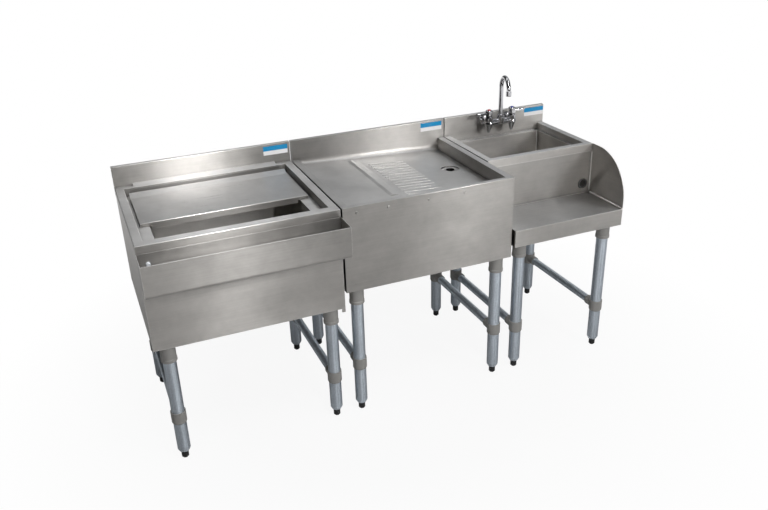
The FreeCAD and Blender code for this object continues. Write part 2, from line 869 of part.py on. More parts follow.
def screw(x):
    """Pan-head screw through the apron into the skirt."""
    return turned_y([
        (0, screw_length),
        (screw_radius, screw_length),
        (screw_radius, 0),
        (screw_head_radius, 0),
        (screw_dome_radius, -screw_head_height),
        (0, -screw_head_height),
    ], x, screw_height)


# ------------------------------------------------------------------ sink
def sink_top():
    """Rim, deck and backsplash of the sink."""
    left = sink_rim
    right = sink_width - sink_rim
    front = sink_front + sink_rim
    hollow = block(left, right, front, splash_face, deck_top, rim_top + gauge)
    shell = block(left - gauge, right + gauge, front - gauge, splash_face + gauge,
                  deck_top - gauge, rim_top)
    along = (front + splash_face) / 2
    across = sink_width / 2
    top = sunk(splashed_top(sink_width, sink_front), hollow, shell, [
        V(across, front, rim_top),
        V(left, along, rim_top),
        V(right, along, rim_top),
    ])
    bowl_hole = block(bowl_left, bowl_right, bowl_front, bowl_rear, deck_top - 2 * gauge, deck_top)
    bowl_hole = with_round_corners(bowl_hole, bowl_corner)
    top = top.cut(bowl_hole)
    for x in valve_places():
        top = top.cut(rod(shank_radius + play, V(x, splash_face - gauge, faucet_height),
                          V(0, 1, 0), 3 * gauge))
    return top


def sink_front_panel():
    """Panel from the rim's apron down to the blender shelf, with the grommet's hole."""
    panel = block(0, sink_width, sink_front, sink_front + gauge, shelf_top, apron_bottom)
    return panel.cut(rod(grommet_barrel + seam, V(grommet_across, sink_front - gauge, grommet_height),
                         V(0, 1, 0), 3 * gauge))


def with_round_corners(box, radius):
    upright = [e for e in box.Edges if e.BoundBox.XLength < radius / 2
               and e.BoundBox.YLength < radius / 2]
    return box.makeFillet(radius, upright)


def sink_drain_place():
    return sink_width / 2, (bowl_front + bowl_rear) / 2


def bowl_solid(skin, top):
    """The bowl's inside as a block with round corners and foot, grown by a wall thickness."""
    box = block(bowl_left - skin, bowl_right + skin, bowl_front - skin, bowl_rear + skin,
                bowl_floor - skin, top)
    edges = [e for e in box.Edges if e.CenterOfMass.z < top - gauge]
    return box.makeFillet(bowl_corner + skin, edges)


def sink_bowl():
    top = deck_top - gauge
    flange = block(bowl_left - bowl_flange, bowl_right + bowl_flange,
                   bowl_front - bowl_flange, bowl_rear + bowl_flange, top - gauge, top)
    x, y = sink_drain_place()
    hole = rod(drain_thread_radius + play, V(x, y, bowl_floor - 2 * gauge), V(0, 0, 1), 3 * gauge)
    return joined([bowl_solid(gauge, top), flange]).cut(bowl_solid(0, top)).cut(hole)


def sink_frame():
    """Side panels, cross channels and gussets that carry top, bowl and shelf."""
    front = shelf_front + gauge
    panel = [
        (front, sink_bottom),
        (splash_rear, sink_bottom),
        (splash_rear, rim_top - gauge),
        (sink_front + gauge, rim_top - gauge),
        (sink_front + gauge, shelf_top - gauge),
        (front, shelf_top - gauge),
    ]
    right = sink_width - gauge
    walls = [profile_x(panel, gauge, 2 * gauge), profile_x(panel, right - gauge, right)]
    channels = [
        block(gauge, right, splash_rear - gauge, splash_rear, sink_bottom,
              sink_bottom + rear_channel),
        block(gauge, right, sink_front + gauge, sink_front + 2 * gauge,
              shelf_top - gauge - cross_channel, shelf_top - gauge),
    ]
    return joined(walls + channels + corner_gussets(sink_width, front, sink_bottom))


def blender_shelf():
    """Low shelf in front of the sink, folded down at its front and sides."""
    rear = sink_front + gauge
    outer = block(0, sink_width, shelf_front, rear, sink_bottom, shelf_top)
    outer = rounded(outer, bend, [V(sink_width / 2, shelf_front, shelf_top)])
    inner = block(gauge, sink_width - gauge, shelf_front + gauge, rear + gauge,
                  sink_bottom - gauge, shelf_top - gauge)
    return outer.cut(inner)


def side_splash():
    """Upright plate at the shelf's right end with a rounded front, welded along two edges."""
    arc_centre = shelf_front + side_splash_round
    arc_low = rim_top - side_splash_round
    halfway = side_splash_round * math.sqrt(0.5)
    x0 = sink_width - gauge
    low_rear = V(x0, sink_front, shelf_top)
    high_rear = V(x0, sink_front, rim_top)
    high_front = V(x0, arc_centre, rim_top)
    on_arc = V(x0, arc_centre - halfway, arc_low + halfway)
    front = V(x0, shelf_front, arc_low)
    low_front = V(x0, shelf_front, shelf_top)
    outline = Part.Wire([
        Part.LineSegment(low_rear, high_rear).toShape(),
        Part.LineSegment(high_rear, high_front).toShape(),
        Part.Arc(high_front, on_arc, front).toShape(),
        Part.LineSegment(front, low_front).toShape(),
        Part.LineSegment(low_front, low_rear).toShape(),
    ])
    plate = Part.Face(outline).extrude(V(gauge, 0, 0))
    tab = side_splash_tab_thickness
    tab_left = x0 - side_splash_tab
    seams = [
        block(tab_left, x0, sink_front - tab, sink_front, shelf_top, rim_top - bend),
        block(tab_left, x0, shelf_front + bend, sink_front, shelf_top, shelf_top + tab),
    ]
    return joined([plate] + seams)


def cord_grommet():
    """Rubber ring in the front panel that a blender's cord passes through."""
    back = sink_front + gauge
    return turned_y([
        (grommet_bore, sink_front - grommet_lip),
        (grommet_radius - grommet_lip / 2, sink_front - grommet_lip),
        (grommet_radius, sink_front),
        (grommet_barrel, sink_front),
        (grommet_barrel, back),
        (grommet_barrel + grommet_back_lip, back),
        (grommet_barrel, back + grommet_back_lip),
        (grommet_bore, back + grommet_back_lip),
    ], grommet_across, grommet_height)


# ------------------------------------------------------------------ faucet
def valve_places():
    middle = sink_width / 2
    return middle - valve_spread / 2, middle + valve_spread / 2


def faucet_body():
    """Body with two valve barrels, their noses, the spout's boss and two shanks."""
    middle = sink_width / 2
    left, right = valve_places()
    thread_end = splash_face + gauge + locknut_length + play
    nose_bottom = faucet_height - nose_drop
    body_start = V(left, faucet_back, faucet_height - body_sag)
    pieces = [rod(body_radius, body_start, V(1, 0, 0), valve_spread)]
    for x in (left, right):
        pieces.append(turned([
            (0, nose_bottom),
            (nose_radius, nose_bottom),
            (nose_top_radius, faucet_height - nose_top_drop),
            (barrel_radius, faucet_height),
            (barrel_radius, barrel_top - 2 * casting_edge),
            (barrel_radius - casting_edge, barrel_top),
            (0, barrel_top),
        ], x, faucet_back))
        pieces.append(turned_y([
            (0, faucet_back),
            (shank_radius, faucet_back),
            (shank_radius, splash_face - escutcheon_length),
            (escutcheon_radius, splash_face - escutcheon_length / 2),
            (escutcheon_radius, splash_face),
            (shank_radius, splash_face),
            (shank_radius, thread_end),
            (shank_radius - shank_relief, thread_end),
            (shank_radius - shank_relief, thread_end + shank_relief_length),
            (shank_radius, thread_end + shank_relief_length),
            (shank_radius, total_rear),
            (shank_bore, total_rear),
            (shank_bore, splash_face),
            (0, splash_face),
        ], x, faucet_height))
    pieces.append(turned([
        (0, barrel_bottom),
        (spout_boss_radius - casting_edge, barrel_bottom),
        (spout_boss_radius, barrel_bottom + casting_edge),
        (spout_boss_radius, spout_boss_top),
        (0, spout_boss_top),
    ], middle, faucet_back))
    socket = rod(spout_radius + spout_fit, V(middle, faucet_back, spout_boss_top - spout_socket),
                 V(0, 0, 1), spout_socket + gauge)
    return joined(pieces).cut(socket)


def spout_nut():
    """Collar that keeps the spout in its boss."""
    bore = spout_radius + spout_fit
    top = spout_boss_top + spout_nut_height
    return turned([
        (bore, spout_boss_top),
        (spout_nut_radius, spout_boss_top),
        (spout_nut_radius, top - casting_edge),
        (spout_nut_radius - casting_edge, top),
        (bore, top),
    ], sink_width / 2, faucet_back)


def swung(shape):
    """Turn a piece of the spout about the riser's axis."""
    shape.rotate(V(sink_width / 2, faucet_back, 0), V(0, 0, 1), spout_turn)
    return shape


def faucet_spout():
    """Gooseneck tube: riser, half-round arch and short drop."""
    middle = sink_width / 2
    bottom = spout_boss_top - spout_socket + play
    riser = V(middle, faucet_back, bottom)
    start = V(middle, faucet_back, spout_arch_centre)
    end = V(middle, faucet_back - spout_reach, spout_tip)

    def ring(centre):
        outside = Part.Face(Part.Wire(Part.makeCircle(spout_radius, centre, V(0, 0, 1))))
        inside = Part.Face(Part.Wire(Part.makeCircle(spout_radius - spout_wall, centre, V(0, 0, 1))))
        return outside.cut(inside)

    arch_centre = V(middle, faucet_back - spout_reach / 2, spout_arch_centre)
    tube = joined([
        ring(riser).extrude(V(0, 0, spout_arch_centre - bottom)),
        ring(start).revolve(arch_centre, V(1, 0, 0), 180),
        ring(end).extrude(V(0, 0, spout_arch_centre - spout_tip)),
    ])
    return swung(tube)


def faucet_aerator():
    """Outlet cup screwed over the spout's end."""
    grip = spout_radius + seam
    bore = spout_radius - spout_wall
    top = spout_tip + aerator_grip
    bottom = top - aerator_length
    return swung(turned([
        (bore, bottom),
        (aerator_radius - casting_edge / 2, bottom),
        (aerator_radius, bottom + casting_edge),
        (aerator_radius, top),
        (grip, top),
        (grip, spout_tip),
        (bore, spout_tip),
    ], sink_width / 2, faucet_back - spout_reach))


def faucet_locknut(x):
    """Hexagonal nut behind the backsplash."""
    back = splash_face + gauge
    corner = locknut_flats / math.sqrt(3)
    outline = [V(x + corner * math.cos(math.radians(60 * n)), back,
                 faucet_height + corner * math.sin(math.radians(60 * n))) for n in range(6)]
    nut = prism(outline, V(0, locknut_length, 0))
    return nut.cut(rod(shank_radius + seam, V(x, back, faucet_height), V(0, 1, 0),
                       locknut_length))


def handle(x, outward):
    """Lever handle whose paddle points left (-1) or right (1)."""
    bottom = barrel_top + play
    top = barrel_top + handle_height
    hub = turned([
        (0, bottom),
        (handle_radius - casting_edge, bottom),
        (handle_radius, bottom + casting_edge),
        (handle_radius, top - handle_edge),
        (handle_radius - handle_edge, top),
        (0, top),
    ], x, faucet_back)
    half = lever_width / 2
    root = lever_root_width / 2
    tip = lever_length - half
    lever_top = top - lever_drop
    side = [(0, -root), (tip, -half), (lever_length, -half / 2), (lever_length, half / 2),
            (tip, half), (0, root)]
    outline = [(x + outward * along, faucet_back + aside) for along, aside in side]
    lever = profile_z(outline, lever_top - lever_thickness, lever_top)
    upper = [e for e in lever.Edges if e.BoundBox.ZMin > lever_top - gauge]
    return joined([hub, lever.makeFillet(lever_round, upper)])


def index_button(x):
    top = barrel_top + handle_height
    return turned([
        (0, top),
        (index_radius, top),
        (index_radius - index_height / 2, top + index_height),
        (0, top + index_height),
    ], x, faucet_back)


# ------------------------------------------------------------------ putting the station together
def place(pieces, left):
    """Move one unit's pieces from its own left edge to the station's frame and keep them."""
    shift = V(left - total_length / 2, -(total_front + total_rear) / 2, 0)
    for name, shape in pieces.items():
        shape.translate(shift)
        parts[name] = shape


def ice_bin():
    x, y = bin_drain_place()
    pieces = {
        "bin_top": with_join_holes(bin_top(), bin_width),
        "bin_shell": with_join_holes(bin_shell(), bin_width),
        "bin_liner": bin_liner(),
        "bin_insulation": bin_insulation(),
        "bin_drain": drain(x, y, well_floor, bin_bottom),
        "rear_cover": rear_cover(),
        "sliding_cover": sliding_cover(),
        "speed_rail": speed_rail(),
        "rail_cap_nut": rail_cap_nut(),
        "bin_label": label(bin_width, bin_label_inset),
    }
    pieces.update(leg_set("bin", bin_width, bin_bottom, bin_tee_height))
    return pieces


def drainboard():
    x, y, seat = board_drain_place()
    top = with_join_holes(with_join_holes(drainboard_top(), 0), board_width)
    body = with_join_holes(with_join_holes(drainboard_body(), 0), board_width)
    pieces = {
        "drainboard_top": top,
        "drainboard_body": body,
        "drainboard_drain": drain(x, y, seat, seat - gauge),
        "drainboard_screws": Part.makeCompound([screw(across) for across in screw_across]),
        "drainboard_label": label(board_width, board_label_inset),
    }
    pieces.update(leg_set("drainboard", board_width, board_bottom, board_tee_height))
    return pieces


def sink():
    hot, cold = valve_places()
    x, y = sink_drain_place()
    pieces = {
        "sink_top": with_join_holes(sink_top(), 0),
        "sink_front_panel": sink_front_panel(),
        "sink_bowl": sink_bowl(),
        "sink_frame": with_join_holes(sink_frame(), 0),
        "blender_shelf": blender_shelf(),
        "side_splash": side_splash(),
        "sink_drain": drain(x, y, bowl_floor, bowl_floor - gauge),
        "cord_grommet": cord_grommet(),
        "sink_label": label(sink_width, sink_label_inset),
        "faucet_body": faucet_body(),
        "faucet_locknuts": Part.makeCompound([faucet_locknut(hot), faucet_locknut(cold)]),
        "faucet_spout": faucet_spout(),
        "spout_nut": spout_nut(),
        "faucet_aerator": faucet_aerator(),
        "hot_handle": handle(hot, -1),
        "cold_handle": handle(cold, 1),
        "hot_index": index_button(hot),
        "cold_index": index_button(cold),
    }
    pieces.update(leg_set("sink", sink_width, sink_bottom, sink_tee_height))
    return pieces


def shared_pieces():
    """Bolts between the units, and the locknuts of the three drains."""
    bolts = [joining_bolt(left, y) for left in (bin_width, board_left + board_width)
             for y in (join_front, join_rear)]
    bin_x, bin_y = bin_drain_place()
    board_x, board_y, board_seat = board_drain_place()
    sink_x, sink_y = sink_drain_place()
    nuts = [
        drain_nut(bin_x, bin_y, bin_bottom),
        drain_nut(board_left + board_x, board_y, board_seat - gauge),
        drain_nut(sink_left + sink_x, sink_y, bowl_floor - gauge),
    ]
    return {"joining_bolts": Part.makeCompound(bolts), "drain_nuts": Part.makeCompound(nuts)}


place(ice_bin(), 0)
place(drainboard(), board_left)
place(sink(), sink_left)
place(shared_pieces(), 0)

os.makedirs("parts", exist_ok=True)
for node, solid in parts.items():
    solid.exportStep("parts/" + node + ".step")
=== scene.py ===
"""Underbar station in a plain studio: materials, welds, light and camera."""
import math

import bmesh
import bpy
from mathutils import Matrix, Vector


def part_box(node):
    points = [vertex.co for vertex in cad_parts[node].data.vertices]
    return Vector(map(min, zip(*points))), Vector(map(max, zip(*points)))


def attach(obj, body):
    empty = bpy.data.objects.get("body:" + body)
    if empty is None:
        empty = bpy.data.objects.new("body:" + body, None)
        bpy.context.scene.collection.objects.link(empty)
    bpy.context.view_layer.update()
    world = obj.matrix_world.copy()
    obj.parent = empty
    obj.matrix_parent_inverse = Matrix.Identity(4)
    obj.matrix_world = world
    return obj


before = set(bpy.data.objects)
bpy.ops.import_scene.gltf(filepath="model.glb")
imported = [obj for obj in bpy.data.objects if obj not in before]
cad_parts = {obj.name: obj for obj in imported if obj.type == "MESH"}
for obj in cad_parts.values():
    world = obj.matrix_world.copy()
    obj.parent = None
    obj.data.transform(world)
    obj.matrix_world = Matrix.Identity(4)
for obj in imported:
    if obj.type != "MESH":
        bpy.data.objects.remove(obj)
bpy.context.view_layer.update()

# ------------------------------------------------------------------ camera of the photograph
IMAGE_WIDTH_PX = 768
FOCAL_PX = 780.8
SENSOR_MM = 36.0
CAMERA_PLACE = Vector((-0.9450, -2.3163, 1.6540))
CAMERA_YAW = 0.3895            # radians, turned right from straight ahead
CAMERA_PITCH = 0.4435          # radians, turned down
CAMERA_ROLL = -0.0312          # radians, about the line of sight
CAMERA_REACH = 50              # metres drawn


def make_camera():
    """The camera that took the photograph, solved from the object's edges."""
    ahead = Vector((math.sin(CAMERA_YAW) * math.cos(CAMERA_PITCH),
                    math.cos(CAMERA_YAW) * math.cos(CAMERA_PITCH),
                    -math.sin(CAMERA_PITCH)))
    level = Vector((math.cos(CAMERA_YAW), -math.sin(CAMERA_YAW), 0))
    upright = level.cross(ahead)
    right = level * math.cos(CAMERA_ROLL) + upright * math.sin(CAMERA_ROLL)
    up = upright * math.cos(CAMERA_ROLL) - level * math.sin(CAMERA_ROLL)
    data = bpy.data.cameras.new("camera")
    data.sensor_width = SENSOR_MM
    data.lens = FOCAL_PX / IMAGE_WIDTH_PX * SENSOR_MM
    data.clip_end = CAMERA_REACH
    camera = bpy.data.objects.new("camera", data)
    bpy.context.scene.collection.objects.link(camera)
    turn = Matrix((right, up, -ahead)).transposed().to_4x4()
    camera.matrix_world = Matrix.Translation(CAMERA_PLACE) @ turn
    bpy.context.scene.camera = camera


# ------------------------------------------------------------------ node helpers
class Nodes:
    """A material's node tree with short calls for the nodes used here."""

    def __init__(self, name):
        self.material = bpy.data.materials.new(name)
        self.material.use_nodes = True
        self.tree = self.material.node_tree
        self.shader = self.tree.nodes["Principled BSDF"]
        self.place = self.add("ShaderNodeTexCoord").outputs["Object"]

    def add(self, kind, **settings):
        node = self.tree.nodes.new(kind)
        for key, value in settings.items():
            setattr(node, key, value)
        return node

    def link(self, source, target):
        self.tree.links.new(source, target)

    def put(self, value, socket):
        """Link a socket's output, or set a plain value."""
        if isinstance(value, bpy.types.NodeSocket):
            self.link(value, socket)
        else:
            socket.default_value = value

    def scaled(self, x, y, z):
        mapping = self.add("ShaderNodeMapping")
        mapping.inputs["Scale"].default_value = (x, y, z)
        self.link(self.place, mapping.inputs["Vector"])
        return mapping.outputs["Vector"]

    def noise(self, vector, scale=1.0, detail=4.0, roughness=0.5):
        node = self.add("ShaderNodeTexNoise")
        self.link(vector, node.inputs["Vector"])
        node.inputs["Scale"].default_value = scale
        node.inputs["Detail"].default_value = detail
        node.inputs["Roughness"].default_value = roughness
        return node.outputs["Fac"]

    def ramp(self, value, low, high, to_low=0.0, to_high=1.0):
        node = self.add("ShaderNodeMapRange")
        node.inputs["From Min"].default_value = low
        node.inputs["From Max"].default_value = high
        node.inputs["To Min"].default_value = to_low
        node.inputs["To Max"].default_value = to_high
        self.link(value, node.inputs["Value"])
        return node.outputs["Result"]

    def maths(self, operation, *values):
        node = self.add("ShaderNodeMath", operation=operation)
        for value, socket in zip(values, node.inputs):
            self.put(value, socket)
        return node.outputs["Value"]

    def blend(self, factor, a, b):
        """Mix two numbers."""
        node = self.add("ShaderNodeMix", data_type="FLOAT")
        for value, socket in zip((factor, a, b), node.inputs[:1] + node.inputs[2:4]):
            self.put(value, socket)
        return node.outputs[0]

    def colours(self, factor, a, b):
        """Mix two colours, each an output or three plain numbers."""
        node = self.add("ShaderNodeMix", data_type="RGBA")
        self.link(factor, node.inputs[0])
        for value, socket in zip((a, b), node.inputs[6:8]):
            self.put((*value, 1) if isinstance(value, tuple) else value, socket)
        return node.outputs[2]

    def bump(self, height, strength, distance):
        node = self.add("ShaderNodeBump")
        node.inputs["Strength"].default_value = strength
        node.inputs["Distance"].default_value = distance
        self.link(height, node.inputs["Height"])
        self.link(node.outputs["Normal"], self.shader.inputs["Normal"])

    def facing(self, axis):
        """1 where a surface faces along an axis, 0 elsewhere."""
        coords = self.add("ShaderNodeTexCoord")
        parts = self.add("ShaderNodeSeparateXYZ")
        self.link(coords.outputs["Normal"], parts.inputs[0])
        return self.maths("GREATER_THAN", self.maths("ABSOLUTE", parts.outputs[axis]), 0.7)

    def edge_mask(self, radius):
        """1 along sharp edges, fading to 0 within a radius."""
        soft = self.add("ShaderNodeBevel", samples=4)
        soft.inputs["Radius"].default_value = radius
        plain = self.add("ShaderNodeNewGeometry")
        dot = self.add("ShaderNodeVectorMath", operation="DOT_PRODUCT")
        self.link(soft.outputs["Normal"], dot.inputs[0])
        self.link(plain.outputs["Normal"], dot.inputs[1])
        return self.ramp(dot.outputs["Value"], 0.995, 0.9)

    def crevice(self, reach):
        """1 on open faces, falling to 0 in narrow gaps and corners."""
        shade = self.add("ShaderNodeAmbientOcclusion", samples=4)
        shade.inputs["Distance"].default_value = reach
        return self.ramp(shade.outputs["AO"], 0.15, 0.75)

    def along(self, axis):
        """Distance along an axis from the frame's origin."""
        parts = self.add("ShaderNodeSeparateXYZ")
        self.link(self.place, parts.inputs[0])
        return parts.outputs[axis]


# ------------------------------------------------------------------ materials
# lying and upright tones of one steel; upright faces are painted darker and warmer, as painted
# shade
LIT_LYING_STEEL = (0.540, 0.535, 0.529)
SHADED_UPRIGHT_STEEL = (0.475, 0.458, 0.437)
# near-white tone of rubbed edges, which also paints a highlight along them
RUBBED_HIGHLIGHT_STEEL = (0.97, 0.96, 0.94)
PAINTED_SHADE_SHARE = 0.25             # painted shade in gaps, as a share of the upright steel's tone
PAINTED_SHADE_REACH = 0.026            # metres within which a facing wall paints shade into a gap
CLOUD_SHADES = (0.80, 1.18)    # darkest and brightest share of the steel's tone
BRUSHED = 0.95                 # how far brushing draws a highlight out
OUTLET_METAL = (0.6, 0.59, 0.58)
# painted shade in a drain's mouth
OUTLET_MOUTH_SHADE = (0.02, 0.019, 0.018)
OUTLET_MOUTH = (0.0165, 0.0185)    # metres from a drain's axis where the painted shade in the mouth begins to end, ends
LABEL_BLUE = ((0.008, 0.27, 0.56), (0.012, 0.32, 0.66))
LABEL_WHITE = ((0.90, 0.90, 0.90), (0.95, 0.95, 0.95))
LABEL_SPLIT = 0.47             # share of a label's height that is white
LABEL_BLUR = 0.0002            # metres, half the width of the line between blue and white


def scaled_colour(colour, share):
    """A colour made darker or brighter, up to white."""
    return tuple(min(1, c * share) for c in colour)


def stainless(name, level, rough, edge_light=0.75, haze_depth=1.0, rubbed_highlight_radius=0.0022):
    """Brushed sheet.

    The grain runs along the sheet, so light spreads across it. Clouded tone, faint waves, handling
    marks, rubbed edges with a painted highlight and painted shade in crevices break it up. Upright
    faces are painted a little warmer and darker than lying ones, as painted shade. The level scales
    the tone, rough is the mean roughness, edge_light says how bright the rubbed edges and their
    painted highlight are, rubbed_highlight_radius how wide, and haze_depth how cloudy the gloss.
    """
    n = Nodes(name)
    side = n.facing("X")
    flat = n.facing("Z")

    # patterns, in cells per metre: two of brush lines, stretched along the grain, and four rounder
    fine = n.blend(side, n.noise(n.scaled(9, 1100, 1100), 1, 3),
                   n.noise(n.scaled(1100, 9, 1100), 1, 3))
    broad = n.blend(side, n.noise(n.scaled(3, 260, 260), 1, 5, 0.65),
                    n.noise(n.scaled(260, 3, 260), 1, 5, 0.65))
    cloud = n.noise(n.scaled(5, 5, 9), 1, 5, 0.6)
    marks = n.noise(n.scaled(34, 34, 34), 1, 5, 0.65)
    waves = n.noise(n.scaled(2.4, 2.4, 3.2), 1, 2)
    dents = n.noise(n.scaled(9, 9, 6), 1, 2)

    # tone: clouds, streaks and marks between two shades, then rubbed edges with a painted highlight
    # and painted shade in the gaps
    tone = n.maths("ADD", n.ramp(cloud, 0.3, 0.7, 0.0, 0.5), n.ramp(broad, 0.3, 0.7, 0.0, 0.26))
    tone = n.maths("ADD", tone, n.ramp(marks, 0.35, 0.7, 0.0, 0.2))
    # upright faces take the darker, warmer tone: painted shade on one material
    shades = [n.colours(flat, tuple(c * level * share for c in SHADED_UPRIGHT_STEEL),
                        tuple(c * level * share for c in LIT_LYING_STEEL))
              for share in CLOUD_SHADES]
    # painted highlight: sharp edges are painted near white, on top of their rubbed wear
    rubbed_and_highlit = n.colours(n.maths("MULTIPLY", n.edge_mask(rubbed_highlight_radius), edge_light),
                     n.colours(tone, *shades), RUBBED_HIGHLIGHT_STEEL)
    # painted shade: gaps and corners within reach of a facing wall are painted darker
    painted_shade = scaled_colour(SHADED_UPRIGHT_STEEL, level * PAINTED_SHADE_SHARE)
    n.link(n.colours(n.crevice(PAINTED_SHADE_REACH), painted_shade, rubbed_and_highlit), n.shader.inputs["Base Color"])

    # gloss: roughness streaked along the grain, and a tangent across it
    n.shader.inputs["Metallic"].default_value = 1.0
    n.shader.inputs["Anisotropic"].default_value = BRUSHED
    streak = n.ramp(broad, 0.3, 0.7, rough - 0.03, rough + 0.03)
    haze = n.ramp(n.blend(0.5, marks, cloud), 0.3, 0.75, -0.04 * haze_depth, 0.06 * haze_depth)
    n.link(n.maths("ADD", streak, haze), n.shader.inputs["Roughness"])
    across = n.add("ShaderNodeCombineXYZ")
    n.link(flat, across.inputs["Y"])
    n.link(n.maths("SUBTRACT", 1.0, flat), across.inputs["Z"])
    n.link(across.outputs[0], n.shader.inputs["Tangent"])

    # relief: brush lines, the sheet's waves and shallow dents
    relief = n.maths("ADD", n.maths("MULTIPLY", fine, 0.012), n.maths("MULTIPLY", waves, 0.9))
    relief = n.maths("ADD", relief, n.maths("MULTIPLY", dents, 0.7))
    n.bump(relief, 0.4, 0.002)
    return n.material


def galvanised(name, colour, axis):
    """Zinc-coated tube: faint crystals and a sheen drawn out along the tube's axis."""
    n = Nodes(name)
    crystal = n.add("ShaderNodeTexVoronoi")
    n.link(n.place, crystal.inputs["Vector"])
    crystal.inputs["Scale"].default_value = 170.0
    cloud = n.noise(n.scaled(30, 30, 8), 1, 5, 0.6)
    streak = n.noise(n.scaled(160, 160, 3), 1, 3)
    tone = n.maths("ADD", n.maths("MULTIPLY", crystal.outputs["Distance"], 0.35),
                   n.ramp(n.blend(0.5, cloud, streak), 0.3, 0.7, 0.0, 0.75))
    n.link(n.colours(tone, scaled_colour(colour, 0.72), scaled_colour(colour, 1.18)),
           n.shader.inputs["Base Color"])
    n.shader.inputs["Metallic"].default_value = 1.0
    n.shader.inputs["Anisotropic"].default_value = BRUSHED
    along = n.add("ShaderNodeCombineXYZ")
    along.inputs[axis].default_value = 1.0
    n.link(along.outputs[0], n.shader.inputs["Tangent"])
    n.link(n.ramp(cloud, 0.3, 0.7, 0.31, 0.37), n.shader.inputs["Roughness"])
    n.bump(n.maths("ADD", n.maths("MULTIPLY", streak, 0.5), cloud), 0.1, 0.0005)
    return n.material


def cast_alloy(name, colour):
    """As-cast fitting: matte, lightly pitted, a little darker in its pits."""
    n = Nodes(name)
    pits = n.noise(n.place, 900, 3, 0.6)
    cloud = n.noise(n.place, 45, 4, 0.6)
    n.link(n.colours(n.blend(0.45, cloud, pits), scaled_colour(colour, 0.8),
                     scaled_colour(colour, 1.12)), n.shader.inputs["Base Color"])
    n.shader.inputs["Metallic"].default_value = 0.35
    n.link(n.ramp(cloud, 0.3, 0.7, 0.5, 0.66), n.shader.inputs["Roughness"])
    n.bump(pits, 0.4, 0.0005)
    return n.material


def moulded(name, colour, rough, grain=700.0):
    """Moulded plastic or rubber with a fine eggshell surface."""
    n = Nodes(name)
    skin = n.noise(n.place, grain, 2)
    cloud = n.noise(n.place, 60, 3)
    n.link(n.colours(cloud, scaled_colour(colour, 0.82), scaled_colour(colour, 1.15)),
           n.shader.inputs["Base Color"])
    n.link(n.ramp(cloud, 0.3, 0.7, rough - 0.06, rough + 0.06), n.shader.inputs["Roughness"])
    n.bump(skin, 0.25, 0.0003)
    return n.material


def chrome(name, colour):
    """Polished plating with faint orange peel and water haze."""
    n = Nodes(name)
    peel = n.noise(n.place, 220, 2)
    haze = n.noise(n.place, 90, 4, 0.6)
    n.link(n.colours(haze, scaled_colour(colour, 0.9), colour), n.shader.inputs["Base Color"])
    n.shader.inputs["Metallic"].default_value = 1.0
    n.link(n.ramp(haze, 0.35, 0.75, 0.05, 0.14), n.shader.inputs["Roughness"])
    n.bump(peel, 0.1, 0.0004)
    return n.material


def outlet(name, node):
    """Drain flange of bright metal, with painted shade down its mouth."""
    low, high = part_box(node)
    n = Nodes(name)
    across = n.maths("SUBTRACT", n.along("X"), (low[0] + high[0]) / 2)
    back = n.maths("SUBTRACT", n.along("Y"), (low[1] + high[1]) / 2)
    square = n.maths("ADD", n.maths("MULTIPLY", across, across), n.maths("MULTIPLY", back, back))
    mottle = n.noise(n.place, 140, 4, 0.6)
    radius = n.maths("ADD", n.maths("SQRT", square), n.maths("MULTIPLY", mottle, 0.002))
    # painted shade: the mouth and anything in it are painted near black
    unshaded = n.ramp(radius, *OUTLET_MOUTH)
    n.link(n.colours(unshaded, OUTLET_MOUTH_SHADE, OUTLET_METAL), n.shader.inputs["Base Color"])
    n.shader.inputs["Metallic"].default_value = 1.0
    n.link(n.ramp(mottle, 0.3, 0.7, 0.34, 0.5), n.shader.inputs["Roughness"])
    n.bump(mottle, 0.2, 0.0004)
    return n.material


def label_film(name, node):
    """Blank two-colour label: a blue band above a white one."""
    low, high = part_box(node)
    n = Nodes(name)
    level = low[2] + (high[2] - low[2]) * LABEL_SPLIT
    upper = n.ramp(n.along("Z"), level - LABEL_BLUR, level + LABEL_BLUR)
    print_grain = n.noise(n.place, 500, 3)
    blue = n.colours(print_grain, *LABEL_BLUE)
    white = n.colours(print_grain, *LABEL_WHITE)
    n.link(n.colours(upper, white, blue), n.shader.inputs["Base Color"])
    n.link(n.ramp(print_grain, 0.3, 0.7, 0.22, 0.34), n.shader.inputs["Roughness"])
    n.bump(n.noise(n.place, 60, 2), 0.1, 0.0004)
    return n.material


def paint(names, material):
    """Give CAD nodes a material."""
    for name in names:
        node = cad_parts[name]
        node.data.materials.clear()
        node.data.materials.append(material)


